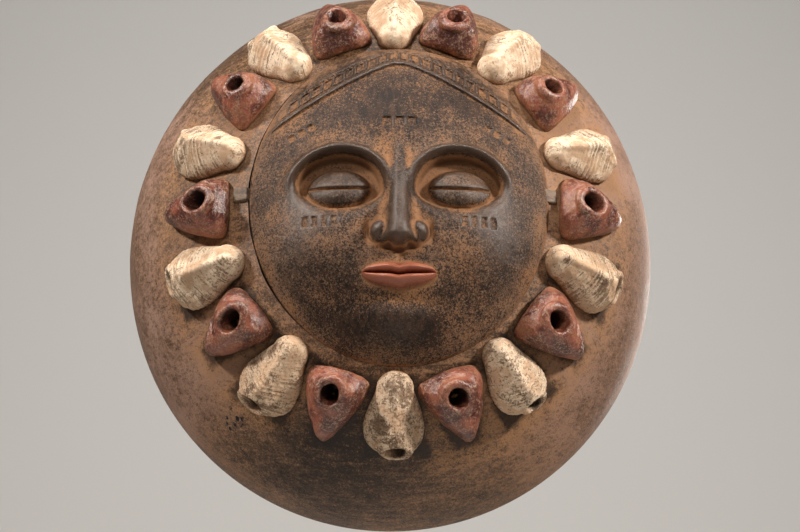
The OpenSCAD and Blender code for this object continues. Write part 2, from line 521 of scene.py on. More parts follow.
def make_board(material):
    """The dome: rows run from the face pocket over the front, round the rim and back up the hollow."""
    n = BOARD_TURNS
    rim = ellipse(BOARD_A, BOARD_B, n)
    pocket = ellipse(FACE_A + POCKET_GAP, FACE_B + POCKET_GAP, n, FACE_X, FACE_Y)
    pocket[:, 0] -= shrinkage(pocket[:, 0] - FACE_X, pocket[:, 1] - FACE_Y)
    window = ellipse(WINDOW_A, WINDOW_B, n, FACE_X, FACE_Y)
    hollow = ellipse(HOLLOW_A, HOLLOW_B, n)

    def row(flat, z):
        return np.column_stack([flat, np.broadcast_to(z, len(flat))])

    rows, kinds = [], []

    def add(flat, z, kind):
        rows.append(row(flat, z))
        kinds.append(kind)

    pocket_share = 0.6
    for turn in np.linspace(math.asin(pocket_share), math.pi / 2 - 0.02, 112):
        share = (math.sin(turn) - pocket_share) / (1 - pocket_share)
        flat = mix(pocket, rim, share)
        add(flat, dome_z(*flat.T), "outer")
    edge = 3.0
    for turn in np.linspace(0, math.pi / 2, 6)[1:]:
        inset = edge * (1 - math.cos(turn))
        add(rim * (1 - inset / BOARD_A), edge * (1 - math.sin(turn)), "outer")
    for share in np.linspace(0, 1, 8)[1:]:
        add(rim * (1 - mix(edge, RIM_W - 2, share) / BOARD_A), 0.0, "rim")
    lip = 2.0
    for turn in np.linspace(0, math.pi / 2, 4)[1:]:
        flat = hollow * (1 + (lip * (1 - math.sin(turn))) / HOLLOW_A)
        add(flat, lip * (1 - math.cos(turn)), "inner")
    window_share = 0.46
    for turn in np.linspace(math.pi / 2 - 0.03, math.asin(window_share), 52):
        share = (math.sin(turn) - window_share) / (1 - window_share)
        flat = mix(window, hollow, share)
        inside = 1 - (flat[:, 0] / HOLLOW_A) ** 2 - (flat[:, 1] / HOLLOW_B) ** 2
        add(flat, HOLLOW_D * np.sqrt(np.maximum(inside, 0)), "inner")
    for share in (0.3, 1.0):
        add(window, mix(rows[-1][:, 2], SEAT_Z, share), "hidden")
    for share in (0.5, 1.0):
        add(mix(window, pocket, share), SEAT_Z, "hidden")
    for share in (0.5, 0.9):
        add(pocket, mix(SEAT_Z, rows[0][:, 2], share), "hidden")

    count = len(rows)
    points = np.concatenate(rows)
    kinds = np.repeat(np.array(kinds), n)
    quads = outward(points, loop_faces(count, n, closed=True))
    normals = normals_of(points, quads)
    outer, inner = kinds == "outer", kinds == "inner"

    stretched = points * np.array([1, 0.8, 1])
    low = smooth(0, 12, points[:, 2]) * smooth(0, 5, near_face(points))
    lumps = 0.5 * noise(points, 60, 1) + 0.25 * noise(points, 22, 2)
    tool = 0.4 * (gouges(stretched, 17, 3) ** 2 - 0.4) * (0.5 + 0.5 * noise(points, 80, 4))
    dents = 0.08 * layered(points, 5, 5)
    outside = (lumps + tool + dents) * low
    scoops = 1.5 * (gouges(points * np.array([1, 1, 0.8]), 19, 7) ** 2 - 0.45) + 0.5 * noise(points, 40, 8)
    scoops += 0.12 * noise(points, 3, 9)
    push = np.where(outer, outside, 0) + np.where(inner, scoops * smooth(0, 15, points[:, 2]), 0)
    points = points + normals * push[:, None]

    pods, face = near_pods(points), near_face(points)
    x, y = points[:, 0], points[:, 1]
    # How much pale dust lies where: real dust near the pods, more at the lower left and on its worn rim, less
    # near the face and towards the top left. The right side gets more as painted light, and the bottom middle
    # gets less, partly for its dark patina and partly as painted shade.
    dust = 0.45 + 0.25 * smooth(30, 150, x) + 0.15 * bell(np.maximum(pods, 0), 14)
    dust -= 1.5 * bell(x + 30, 62) * bell(y + 152, 34) + 0.3 * bell(np.maximum(face, 0), 16)
    dust += 0.6 * bell(points[:, 2] - 17, 7) * bell(np.hypot(x + 105, y + 145), 50)
    dust += 0.3 * bell(x + 110, 40) * bell(y + 110, 40) - 0.7 * smooth(40, 150, y) * smooth(120, -60, x)
    attributes = {
        "inside": np.where(inner, 1.0, np.where(outer, 0.0, 0.6)),
        "worm": bell(np.hypot(x + 99, y + 129) + 2 * noise(points, 4, 61), 7),
        "dust": dust,
        "ochre": np.clip(0.85 * bell(np.maximum(pods, 0), 13) + 0.5 * smooth(-100, -165, y), 0, 1) * outer,
        # Raised high up the board, so that the painted shade round the pods' feet falls only round the lower
        # pods.
        "near_pods": (np.where(outer, np.clip(pods, -5, 60), 60) + 8 * smooth(-60, 40, y)) / 20,
        "upper": smooth(-60, 40, y),
        "tool": np.where(inner, scoops, tool),
    }
    board = make_object("carved_board", points, [quads], attributes, material)
    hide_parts("board")
    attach(board, "root")
    return board


# ---- face

# Features on plain classical proportions, from the middle of the face block
EYE_X = 2 * FACE_A / 5
EYE_W = 2 * FACE_A / 5
CHIN_Y = -0.92 * FACE_B
BROW_Y = 0.2 * FACE_B
NOSE_Y = (BROW_Y + CHIN_Y) / 2
MOUTH_Y = NOSE_Y + (CHIN_Y - NOSE_Y) / 3
HAIR_Y = BROW_Y + (BROW_Y - NOSE_Y)
MOUTH_W = 23.0


def face_edge_z(x, y):
    """Height of the dome at the face block's outline, in the direction of a point."""
    r = np.maximum(np.hypot(x / FACE_A, y / FACE_B), 1e-6)
    return dome_z(FACE_X + x / r, FACE_Y + y / r)


def ridge_line(x, y, middle_x, middle_y, a, b):
    """Signed distance, in mm, outside an upright ellipse."""
    q = np.hypot((x - middle_x) / a, (y - middle_y) / b)
    return (q - 1) * 2 * a * b / (a + b)


def ticks(x, y, middle, along, count, size, gap, depth):
    """A row of small square-cut marks: how deep each point lies in one."""
    along = np.array(along, float) / np.hypot(*along)
    u = (x - middle[0]) * along[0] + (y - middle[1]) * along[1]
    v = -(x - middle[0]) * along[1] + (y - middle[1]) * along[0]
    pitch = size[0] + gap
    k = np.clip(np.round(u / pitch + (count - 1) / 2), 0, count - 1) - (count - 1) / 2
    inside_u = size[0] / 2 - np.abs(u - k * pitch)
    inside_v = size[1] / 2 - np.abs(v)
    return depth * smooth(-0.3, 0.5, np.minimum(inside_u, inside_v))


def hair_line(x):
    """Height of the hairline: a peak in the middle, falling to the temples."""
    return HAIR_Y + 12 - 0.62 * np.sqrt(x**2 + 60)


def mouth_curve(x):
    """Place along the mouth from -1 to 1, height of the line between the lips, and their fullness."""
    m = x / MOUTH_W
    return m, MOUTH_Y + 1.2 * m**2 - 0.8 * bell(x, 4), np.sqrt(np.maximum(1 - m**2, 0))


def closed_eyes(ax, y):
    """Balls under two lids that meet in a calm downward curve."""
    u, v = (ax - EYE_X) / (0.53 * EYE_W), (y + 1) / (0.36 * EYE_W)
    ball_q = np.maximum(1 - u**2 - v**2, 0)
    lids = 9.5 * ball_q**0.62
    gap = y - (-3.5 + 3.0 * u**2)
    lids = lids + 0.9 * smooth(-0.4, 0.8, gap) * smooth(0, 0.25, ball_q)
    lids = lids - 2.0 * bell(gap, 0.8) * smooth(0, 0.3, ball_q)
    crease = ridge_line(ax, y, EYE_X, -4, 0.52 * EYE_W, 0.40 * EYE_W)
    return lids - 0.6 * bell(crease + 2.0, 0.8) * smooth(0, 6, y)


def carved_nose(x, ax, y):
    """A straight bridge that widens to a tip between two wings."""
    s = np.clip((BROW_Y + 6 - y) / (BROW_Y + 6 - NOSE_Y), 0, 1)
    half = 5.5 + 7.5 * s**1.6
    rise = 3 + 14.8 * s**1.15
    bridge = rise * smooth(1.35, 0.15, ax / half) * smooth(-0.12, 0.05, (BROW_Y + 6 - y) / 60)
    under = smooth(-4.5, 0.5, y - NOSE_Y + 2 * bell(ax, 7))
    wing = 9.5 * np.sqrt(np.maximum(1 - np.hypot((ax - 11.5) / 7.5, (y - (NOSE_Y + 6)) / 7.5) ** 2, 0))
    tip = 2.6 * blob(x, y - (NOSE_Y + 6), 8, 8)
    return soft_max(np.maximum(bridge + tip, 0) * under, wing * under, 2.5)


def with_lips(z, x, y):
    """The relief with two full closed lips on a low mound, and the groove above them."""
    m, line, w = mouth_curve(x)
    upper_h, lower_h = 8.0 * w**1.1, 9.0 * w**0.9
    up = (y - line) / np.maximum(upper_h, 0.01)
    down = (line - y) / np.maximum(lower_h, 0.01)
    bow = 1 - 0.22 * bell(x, 3.2)
    upper = 6.2 * w**0.6 * np.clip(np.sin(np.pi * np.clip(up / bow, 0, 1) ** 0.75), 0, 1) * (up > 0)
    lower = 6.8 * w**0.6 * np.clip(np.sin(np.pi * np.clip(down, 0, 1) ** 0.8), 0, 1) * (down >= 0)
    mound = 3.5 * blob(x, y - MOUTH_Y, 30, 16)
    z = z + mound + upper + lower - 1.0 * bell(y - line, 0.7) * (np.abs(m) < 1.08)
    return z - 1.3 * bell(x, 2.6) * smooth(MOUTH_Y + 7, MOUTH_Y + 11, y) * smooth(NOSE_Y - 3, NOSE_Y - 6, y)


def with_hairline(z, x, y, fade):
    """The relief with two raised bands round a row of square cuts, and combed grooves above them."""
    over = (y - hair_line(x)) * 0.85
    z = z + 2.2 * smooth(-1, 0.5, over) * fade
    z = z - 1.3 * bell(over - 3.5, 0.7) * fade - 1.3 * bell(over - 11.5, 0.7) * fade
    pitch = 8.2
    along = np.abs(x) * 1.15 + 0.1
    k = np.abs((along / pitch) % 1 - 0.5) * pitch
    cell = np.minimum(pitch / 2 - 1.0 - k, 2.9 - np.abs(over - 7.5))
    z = z - 1.7 * smooth(-0.3, 0.5, cell) * fade
    comb = np.cos(2 * np.pi * x * 0.55 / 3.6)
    return z - 0.45 * (1 - comb) / 2 * smooth(13, 15, over) * fade


def face_relief(x, y):
    """Height of the carved face over the back plane, at places from the middle of the face block."""
    r = np.hypot(x / FACE_A, y / FACE_B)
    edge = mix(98.0, face_edge_z(x, y), np.clip(r, 0, 1) ** 2)
    z = edge + (FACE_TOP - 98) * np.maximum(1 - r**2.6, 0) ** 0.8
    ax = np.abs(x)
    fade = smooth(1.0, 0.9, r)

    # cheeks, chin and jaw
    z = z + 5.5 * blob(ax - 50, y + 34, 30, 30) * fade
    z = z + 5.0 * blob(x, y - (CHIN_Y + 13), 25, 14) * fade
    z = z - 2.0 * bell(y - (MOUTH_Y - 15), 5) * bell(x, 22)

    # sockets with a crisp rim above, running out over the cheek below
    rim = ridge_line(ax, y, EYE_X, -1, 0.80 * EYE_W, 0.66 * EYE_W)
    above = smooth(-20, 2, y - 0.15 * (ax - EYE_X))
    wall = mix(16.0, 5.0, above)
    z = z - mix(6.0, 10.0, above) * smooth(0, 1, -rim / wall) * fade
    z = z + 3.2 * bell(rim - 1.2, 2.6) * smooth(-6, 10, y) * fade
    z = z + 1.8 * bell(rim - 3.0, 6.0) * smooth(-2, 14, y) * fade

    # eyes and nose, with the folds beside the wings and the nostrils
    z = z + closed_eyes(ax, y)
    z = z + carved_nose(x, ax, y)
    z = z - 2.2 * blob(ax - 19.5, y - (NOSE_Y + 7), 2.4, 7)
    z = z - 5.0 * blob(ax - 6.6, y - (NOSE_Y - 2.4), 3.6, 1.9)

    z = with_lips(z, x, y)
    z = with_hairline(z, x, y, fade)

    # small square-cut marks on the brow and the cheeks
    z = z - ticks(x, y, (0, BROW_Y + 22), (1, 0), 3, (6.0, 6.5), 2.0, 1.2)
    for side in (-1, 1):
        z = z - ticks(x, y, (side * 50, NOSE_Y + 14), (1, 0), 4, (3.6, 7.0), 2.4, 1.1)
        z = z - ticks(x, y, (side * 62, BROW_Y + 17), (side, -0.5), 3, (5.0, 5.0), 2.0, 1.1)
    return z


def lip_mask(x, y):
    """1 on the lips and 0 elsewhere."""
    m, line, w = mouth_curve(x)
    up = (y - line) - 7.4 * w**1.1
    down = (line - y) - 8.2 * w**0.9
    return smooth(0.8, -0.8, np.maximum(up, down)) * (np.abs(m) < 1)


def crowded(count, peaks):
    """count + 1 rising numbers from -1 to 1, closer together near each peak (place, width, strength)."""
    t = np.linspace(-1, 1, 4001)
    density = 1 + sum(strength * bell(t - place, width) for place, width, strength in peaks)
    total = np.concatenate([[0], np.cumsum((density[1:] + density[:-1]) / 2)])
    return np.interp(np.linspace(0, total[-1], count + 1), total, t)


FACE_COLUMNS = 256
FACE_ROWS = 292


def face_grid():
    """Places over the face block's oval from its middle, closer together at the eyes, nose and mouth."""
    across = crowded(FACE_COLUMNS, [(0, 0.3, 0.5), (0.4, 0.2, 0.3), (-0.4, 0.2, 0.3)])
    peaks = [((NOSE_Y - 1) / FACE_B, 0.05, 2.0), (MOUTH_Y / FACE_B, 0.08, 0.7), (-0.02, 0.1, 0.7)]
    upward = crowded(FACE_ROWS, peaks)
    sx, sy = np.meshgrid(across, upward, indexing="ij")
    x = FACE_A * sx * np.sqrt(1 - sy**2 / 2)
    y = FACE_B * sy * np.sqrt(1 - sx**2 / 2)
    return x + shrinkage(x, y) * smooth(0.97, 1, np.hypot(x / FACE_A, y / FACE_B)), y


def face_hollows(x, y):
    """How far, in mm, each place lies below its close surroundings, and below its wide ones."""
    step = 0.75
    half_x, half_y = FACE_A + 12, FACE_B + 12
    gx, gy = np.meshgrid(np.arange(-half_x, half_x, step), np.arange(-half_y, half_y, step), indexing="ij")
    outside = np.hypot(gx / FACE_A, gy / FACE_B) > 1
    heights = np.where(outside, dome_z(gx + FACE_X, gy + FACE_Y), face_relief(gx, gy))
    px, py = (x - gx[0, 0]) / step, (y - gy[0, 0]) / step
    ix, iy = px.astype(int), py.astype(int)
    fx, fy = px - ix, py - iy

    def sampled(field):
        low = mix(field[ix, iy], field[ix + 1, iy], fx)
        return mix(low, mix(field[ix, iy + 1], field[ix + 1, iy + 1], fx), fy)

    return [sampled(blurred(heights, times) - heights) for times in (8, 90)]


def face_ring(turn, a, b, z):
    """Points at these turns round an ellipse on the face block's axis."""
    height = np.broadcast_to(z, len(turn))
    return np.column_stack([FACE_X + a * np.sin(turn), FACE_Y + b * np.cos(turn), height])


def face_back(turn, edge_z):
    """Points and quads of the wall, the seat, the plug and the scooped hollow at the back."""
    gap = 0.3
    plug_a, plug_b = WINDOW_A - gap, WINDOW_B - gap
    wide, tall, deep = FACE_HOLLOW
    rows = [face_ring(turn, FACE_A, FACE_B, z) for z in (mix(edge_z, SEAT_Z, 0.6), SEAT_Z)]
    plug_heights = (SEAT_Z, mix(SEAT_Z, FACE_BACK_Z, 0.5), FACE_BACK_Z + 1)
    rows += [face_ring(turn, plug_a, plug_b, z) for z in plug_heights]
    rows.append(face_ring(turn, plug_a - 1, plug_b - 1, FACE_BACK_Z))
    rows.append(face_ring(turn, wide + 1, tall + 1, FACE_BACK_Z))
    hollow_start = len(rows) * len(turn)
    for lift in np.linspace(0.03, math.pi / 2 - 0.02, 26):
        shrink = math.cos(lift)
        rows.append(face_ring(turn, wide * shrink, tall * shrink, FACE_BACK_Z + deep * math.sin(lift)))
    points = np.concatenate(rows)
    faces = loop_faces(len(rows), len(turn))
    normals = normals_of(points, faces)
    scooped = np.arange(len(points)) >= hollow_start
    inwards = points - np.array([FACE_X, FACE_Y, FACE_BACK_Z + 20])
    outside_sign = np.sign((normals * inwards).sum(axis=1).mean())
    scoops = 1.3 * (gouges(points, 15, 41) ** 2 - 0.45) + 0.12 * noise(points, 3, 43)
    centred = smooth(0, 12, np.hypot(inwards[:, 0], inwards[:, 1]))
    return points + normals * (outside_sign * scoops * scooped * centred)[:, None], faces


def face_attributes(x, y, r, total, back_at):
    """What the face's material reads at each point: the front's points come first."""

    def everywhere(values):
        full = np.zeros(total)
        full[: x.size] = np.asarray(values).ravel()
        return full

    inside = np.zeros(total)
    inside[back_at:] = 1
    fine_hollow, wide_hollow = face_hollows(x, y)
    # Rubbed places on the cheeks and chin: less dust, a coat, and a lighter grey-brown that is partly painted
    # sheen.
    polish_and_sheen = 0.55 * blob(np.abs(x) - 62, y + 28, 17, 42) + 0.3 * blob(x, y + 90, 20, 9)
    dust = 0.27 + 0.45 * smooth(0.85, 1, r.reshape(x.shape))
    dust = dust - 0.75 * bell(x, 55) * bell(y - 62, 26) - 0.7 * bell(x, 50) * bell(y + 88, 22)
    return {
        "hollow": everywhere(fine_hollow),
        "hollow_wide": everywhere(wide_hollow),
        "lips": everywhere(lip_mask(x, y)),
        "dust": everywhere(dust - 0.7 * polish_and_sheen),
        "polish_and_sheen": everywhere(polish_and_sheen),
        "inside": inside,
    }


def make_face(material):
    """The face block: a carved front, joined round its border to the wall and the back."""
    x, y = face_grid()
    front = np.stack([x + FACE_X, y + FACE_Y, face_relief(x, y)], axis=-1)
    index = np.arange(x.size).reshape(x.shape)
    corners = (index[:-1, :-1], index[1:, :-1], index[1:, 1:], index[:-1, 1:])
    front_quads = np.stack([c.ravel() for c in corners], axis=1)
    points = front.reshape(-1, 3)
    normals = normals_of(points, front_quads)
    r = np.hypot(x / FACE_A, y / FACE_B).ravel()
    facets = 0.22 * (gouges(points, 9, 31) ** 2 - 0.4) + 0.1 * layered(points, 3.2, 33)
    facets = facets + 0.25 * noise(points, 24, 35)
    points = points + normals * (facets * smooth(1.0, 0.97, r))[:, None]

    # one row of the wall is as dense as the border, and the rows after it are half as dense
    border = np.concatenate([index[:, 0], index[-1, 1:], index[-2::-1, -1], index[0, -2:0:-1]])
    loop = points[border]
    flat = loop[:, :2] - np.array([FACE_X, FACE_Y])
    flat = flat / np.hypot(flat[:, :1] / FACE_A, flat[:, 1:] / FACE_B)
    turn = np.arctan2(flat[:, 0] / FACE_A, flat[:, 1] / FACE_B)
    wall = face_ring(turn, FACE_A, FACE_B, loop[:, 2] - 1.0)
    back, back_faces = face_back(turn[::2], loop[::2, 2])
    count = len(border)
    half = count // 2
    wall_at = len(points) + np.arange(count)
    back_at = len(points) + count
    points = np.concatenate([points, wall, back, [back[-half:].mean(axis=0)]])
    side = np.stack([border, np.roll(border, -1), np.roll(wall_at, -1), wall_at], axis=1)
    k = np.arange(half)
    after = (k + 1) % half
    step_down = np.stack(
        [wall_at[2 * k], wall_at[2 * k + 1], wall_at[(2 * k + 2) % count], back_at + after, back_at + k],
        axis=1,
    )
    last = back_at + len(back) - half
    cap = np.stack([last + k, last + after, np.full(half, len(points) - 1)], axis=1)
    quads = np.concatenate([front_quads, side[:, ::-1], (back_faces + back_at)[:, ::-1]])
    sets = [quads, step_down[:, ::-1], cap[:, ::-1]]
    attributes = face_attributes(x, y, r, len(points), back_at)
    face = make_object("carved_face", points, sets, attributes, material)
    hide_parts("face")
    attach(face, "root")
    return face


# ---- ear tabs


def make_tab(side, material):
    """A small worn block at eye level, let into the board beside the face."""
    name = f"ear_tab_{side}"
    low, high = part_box(name)
    middle = np.array([(low.x + high.x) / 2, (low.z + high.z) / 2, -(low.y + high.y) / 2]) / MM
    tilt = math.radians(24) * (-1 if side == "left" else 1)
    size = np.array([10.0, 9.0, 9.0]) / 2
    block = Block(-size - 2, size + 2, 0.4)
    q = [np.abs(c) - (s - 0.9) for c, s in zip((block.x, block.y, block.z), size)]
    outside = np.sqrt(sum(np.maximum(v, 0) ** 2 for v in q))
    inside = np.minimum(np.maximum(np.maximum(q[0], q[1]), q[2]), 0)
    field = outside + inside - 0.9
    points, quads = block.surface(np.broadcast_to(field, block.shape))
    normals = normals_of(points, quads)
    points = points + normals * (0.25 * noise(points, 3.5, 51 if side == "left" else 52))[:, None]
    hollow = -block.sample(blurred(np.broadcast_to(field, block.shape), 6), points)
    x = points[:, 0] * math.cos(tilt) + points[:, 2] * math.sin(tilt)
    z = points[:, 2] * math.cos(tilt) - points[:, 0] * math.sin(tilt)
    world = np.stack([x, points[:, 1], z], axis=1) + middle
    tab = make_object(f"carved_{name}", world, [outward(world, quads)], {"hollow": hollow}, material)
    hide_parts(name)
    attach(tab, "root")
    return tab


# ---- materials


def colour(code):
    """A linear colour from a screen colour such as "8a6344"."""
    parts = [int(code[i : i + 2], 16) / 255 for i in (0, 2, 4)]
    return tuple(c / 12.92 if c <= 0.04045 else ((c + 0.055) / 1.055) ** 2.4 for c in parts) + (1.0,)


class Finish:
    """A material's node tree, with a short call for each kind of node."""

    def __init__(self, name, constants):
        self.material = bpy.data.materials.new(name)
        self.material.use_nodes = True
        self.tree = self.material.node_tree
        self.shader = self.tree.nodes["Principled BSDF"]
        for key, value in constants.items():
            self.shader.inputs[key].default_value = value
        self.place = self.node("ShaderNodeTexCoord").outputs["Object"]

    def node(self, kind, inputs=None, **settings):
        """A new node with these settings, and these values or links in its inputs."""
        made = self.tree.nodes.new(kind)
        for key, value in settings.items():
            setattr(made, key, value)
        for key, value in (inputs or {}).items():
            self.plug(made.inputs[key], value)
        return made

    def plug(self, socket, value):
        if isinstance(value, bpy.types.NodeSocket):
            self.tree.links.new(value, socket)
        else:
            socket.default_value = value

    def maths(self, operation, *values, clamp=False):
        made = self.node("ShaderNodeMath", operation=operation, use_clamp=clamp)
        for socket, value in zip(made.inputs, values):
            self.plug(socket, value)
        return made.outputs[0]

    def add(self, *terms):
        """The sum of these terms, where a pair stands for a cloud, centred on zero, and its strength."""
        values = [self.centred(*term) if isinstance(term, tuple) else term for term in terms]
        total = values[0]
        for value in values[1:]:
            total = self.maths("ADD", total, value)
        return total

    def times(self, a, b):
        return self.maths("MULTIPLY", a, b)

    def centred(self, noise, size):
        """A cloud's noise moved to run about zero, and made size times as strong."""
        return self.maths("MULTIPLY_ADD", noise, size, -size / 2)

    def step(self, value, low, high):
        """0 below low, 1 above high and an S-curve between them."""
        inputs = {"Value": value, "From Min": low, "From Max": high}
        return self.node("ShaderNodeMapRange", inputs, interpolation_type="SMOOTHSTEP").outputs[0]

    def cells(self, size, source=None):
        """Distance from the middle of the nearest of a crowd of cells about size metres across, in cells."""
        inputs = {"Vector": source or self.place, "Scale": 1 / size}
        return self.node("ShaderNodeTexVoronoi", inputs).outputs["Distance"]

    def attribute(self, name):
        return self.node("ShaderNodeAttribute", attribute_name=name).outputs["Fac"]

    def stretched(self, scale, source=None):
        return self.node("ShaderNodeMapping", {"Vector": source or self.place, "Scale": scale}).outputs[0]

    def cloud(self, size, detail=4.0, roughness=0.55, distortion=0.0, source=None):
        """Noise from about 0.3 to 0.7 whose lumps are about size metres across."""
        inputs = {"Vector": source or self.place, "Scale": 1 / size}
        inputs.update({"Detail": detail, "Roughness": roughness, "Distortion": distortion})
        return self.node("ShaderNodeTexNoise", inputs).outputs["Fac"]

    def blend(self, a, b, share):
        """Colour a where the share is 0, b where it is 1."""
        return self.node("ShaderNodeMix", {"Factor": share, 6: a, 7: b}, data_type="RGBA").outputs[2]

    def grade(self, code_a, code_b, share):
        """A blend of two screen colours."""
        return self.blend(colour(code_a), colour(code_b), share)

    def cover(self, base, code, share, strength):
        """The base with a screen colour laid over it, up to strength, where share is 1."""
        return self.blend(base, colour(code), self.times(share, strength))

    def finish(self, base, roughness, height, strength=0.6, distance=0.0006):
        """The finished material, with the height as a bump."""
        bump = self.node("ShaderNodeBump", {"Strength": strength, "Distance": distance, "Height": height})
        self.plug(self.shader.inputs["Base Color"], base)
        self.plug(self.shader.inputs["Roughness"], roughness)
        self.plug(self.shader.inputs["Normal"], bump.outputs[0])
        self.plug(self.shader.inputs["Coat Normal"], bump.outputs[0])
        return self.material


def raw_wood(f, grain):
    """The bare wood of the hollows."""
    return f.grade("4a3222", "6b4a30", f.step(grain, 0.4, 0.65))


def board_finish():
    f = Finish("board_patina_and_shade", {"Specular IOR Level": 0.35})
    broad = f.cloud(0.09, 4)
    medium = f.cloud(0.016, 5, 0.6)
    fine = f.cloud(0.0028, 5, 0.8, 1.2)
    speck = f.cloud(0.0012, 3, 0.8, 0.8)
    grain = f.cloud(0.0035, 6, 0.65, 0.4, f.stretched((0.14, 1, 1)))
    level = f.add(f.attribute("dust"), (broad, 2.2), (medium, 1.2), (fine, 2.6))
    level = f.add(level, (speck, 3.4), (grain, 2.8))
    dark = f.grade("2b1c12", "634a36", f.step(level, -1.1, 0.1))
    pale = f.grade("886a5a", "a08070", f.step(broad, 0.42, 0.6))
    pale = f.blend(pale, colour("9c7351"), f.attribute("ochre"))
    share = f.step(level, -0.2, 0.9)
    base = f.blend(dark, pale, share)
    dots = f.add((speck, 4.2), (fine, 3.2), (grain, 2.0))
    dots = f.add(dots, f.times(f.attribute("ochre"), 0.5))
    dots = f.add(dots, f.times(f.step(f.attribute("dust"), 0.2, -0.6), -0.55))
    base = f.cover(base, "a87c54", f.step(dots, 0.25, 0.9), 0.65)
    soot = f.add((speck, -4.2), (fine, -3.2), f.times(f.attribute("upper"), -0.3))
    base = f.cover(base, "33221a", f.step(soot, 0.35, 1.0), 0.55)
    # Painted shade on the board round the feet of the lower pods.
    pod_foot_shade = f.step(f.add(f.attribute("near_pods"), (medium, 0.6), (fine, 0.4)), 0.3, 0.0)
    base = f.cover(base, "21150d", pod_foot_shade, 0.85)
    # Worm holes drawn as black pits with a dent in the bump: the black is painted shade standing in for the
    # holes' depth.
    eaten = f.step(f.attribute("worm"), 0.35, 0.6)
    pits = f.add(f.cells(0.0034, f.stretched((1, 1, 0.6))), (speck, 0.8))
    worm = f.times(eaten, f.step(pits, 0.46, 0.34))
    base = f.blend(base, colour("120b07"), worm)
    inside = f.attribute("inside")
    raw = raw_wood(f, grain)
    # Darker in the deep middles of the gouge scoops: painted shade.
    raw = f.blend(raw, colour("2c1d14"), f.times(f.step(f.attribute("tool"), 0.1, -0.6), 0.5))
    base = f.blend(base, raw, f.step(inside, 0.3, 0.7))
    rough = f.add(0.42, f.times(share, 0.22), f.times(inside, 0.15))
    height = f.add(f.times(fine, 0.7), f.times(grain, 0.7), f.times(medium, 0.6), f.times(speck, 0.3))
    height = f.add(height, f.times(worm, -3.0))
    return f.finish(base, rough, height, 0.6, 0.0008)


def face_finish():
    f = Finish("face_patina_and_shade", {"Specular IOR Level": 0.25, "Coat Roughness": 0.34})
    medium = f.cloud(0.02, 4, 0.6)
    blotch = f.cloud(0.05, 3, 0.5)
    speck = f.cloud(0.0012, 3, 0.8, 0.8)
    fine = f.cloud(0.0022, 5, 0.8, 1.5)
    grain = f.cloud(0.003, 5, 0.6, 0.3, f.stretched((1, 1, 0.15)))
    hollow, wide = f.attribute("hollow"), f.attribute("hollow_wide")
    level = f.add(f.times(hollow, 0.8), f.times(wide, 0.12), (medium, 1.8), (blotch, 1.6))
    level = f.add(level, (speck, 4.6), (fine, 4.4), f.attribute("dust"))
    share = f.step(level, -0.25, 0.95)
    wood = f.grade("1f140d", "3c281b", f.step(grain, 0.42, 0.62))
    ochre = f.step(f.add(f.times(hollow, 0.5), f.times(wide, 0.15), (medium, 1.6)), -0.3, 0.5)
    base = f.blend(wood, f.grade("80644f", "966b48", ochre), share)
    # Painted shade in the deepest hollows.
    deep = f.step(f.add(hollow, (speck, 1.2)), 0.5, 1.8)
    base = f.cover(base, "3a2418", deep, 0.7)
    # Rubbed ridges and cheeks: a lighter grey-brown, partly real wear and partly painted sheen, under a coat.
    worn = f.add(f.times(hollow, -1.0), f.times(wide, -0.15), (speck, 1.0), f.attribute("polish_and_sheen"))
    worn = f.step(worn, 0.15, 0.95)
    base = f.cover(base, "5c4636", worn, 0.5)
    lips = f.attribute("lips")
    red = f.grade("ad6246", "7b3a29", f.step(f.add(speck, f.times(hollow, 0.15)), 0.45, 0.65))
    base = f.blend(base, red, f.times(lips, 0.85))
    raw = raw_wood(f, grain)
    base = f.blend(base, raw, f.attribute("inside"))
    rough = f.add(0.45, f.times(share, 0.2), f.times(worn, -0.2), f.times(f.attribute("inside"), 0.2))
    f.plug(f.shader.inputs["Coat Weight"], f.times(worn, 0.75))
    height = f.add(f.times(speck, 0.8), f.times(grain, 0.4), f.times(fine, 0.9))
    return f.finish(base, rough, height, 0.55, 0.0006)


def red_finish():
    f = Finish("red_ochre_paint", {"Specular IOR Level": 0.6})
    medium = f.cloud(0.012, 4, 0.6)
    fine = f.cloud(0.004, 5, 0.75, 1.2)
    speck = f.cloud(0.0012, 3, 0.8)
    hollow = f.attribute("hollow")
    broad = f.cloud(0.03, 3)
    patches = f.step(f.add(medium, (broad, 0.8)), 0.38, 0.62)
    base = f.grade("4d211a", "8c4b3a", patches)
    base = f.cover(base, "4c1f17", f.step(fine, 0.52, 0.62), 0.6)
    worn = f.step(f.add(f.times(hollow, -1.0), (fine, 3.4), (speck, 3.4)), -0.1, 0.9)
    base = f.cover(base, "c0997f", worn, 0.75)
    ochre = f.add(f.times(hollow, 0.4), (medium, 2.4), (broad, 2.4), (speck, 3.0))
    ochre = f.step(ochre, 0.0, 0.9)
    base = f.cover(base, "a67551", ochre, 0.65)
    # Painted shade in the crevices.
    dark = f.step(f.add(hollow, (medium, 1.6), (speck, 1.6)), 0.35, 1.1)
    base = f.cover(base, "24120d", dark, 0.85)
    dust = f.step(f.add(f.attribute("height"), (medium, -0.9), (speck, -1.6)), 0.35, -0.1)
    base = f.cover(base, "a47550", dust, 0.7)
    # Painted shade in a band round the pod's foot.
    base = f.cover(base, "24150d", f.step(f.attribute("height"), 0.14, -0.02), 0.75)
    # Painted shade inside the hole at the summit.
    hole = f.step(f.add(f.attribute("mouth"), (speck, 0.3)), 1.0, 0.72)
    base = f.cover(base, "160d09", hole, 0.92)
    rough = f.add(0.2, f.times(fine, 0.25), f.times(dust, 0.25), f.times(ochre, 0.15))
    height = f.add(f.times(fine, 0.9), f.times(medium, 0.6), f.times(speck, 0.3))
    return f.finish(base, rough, height, 0.6, 0.0007)


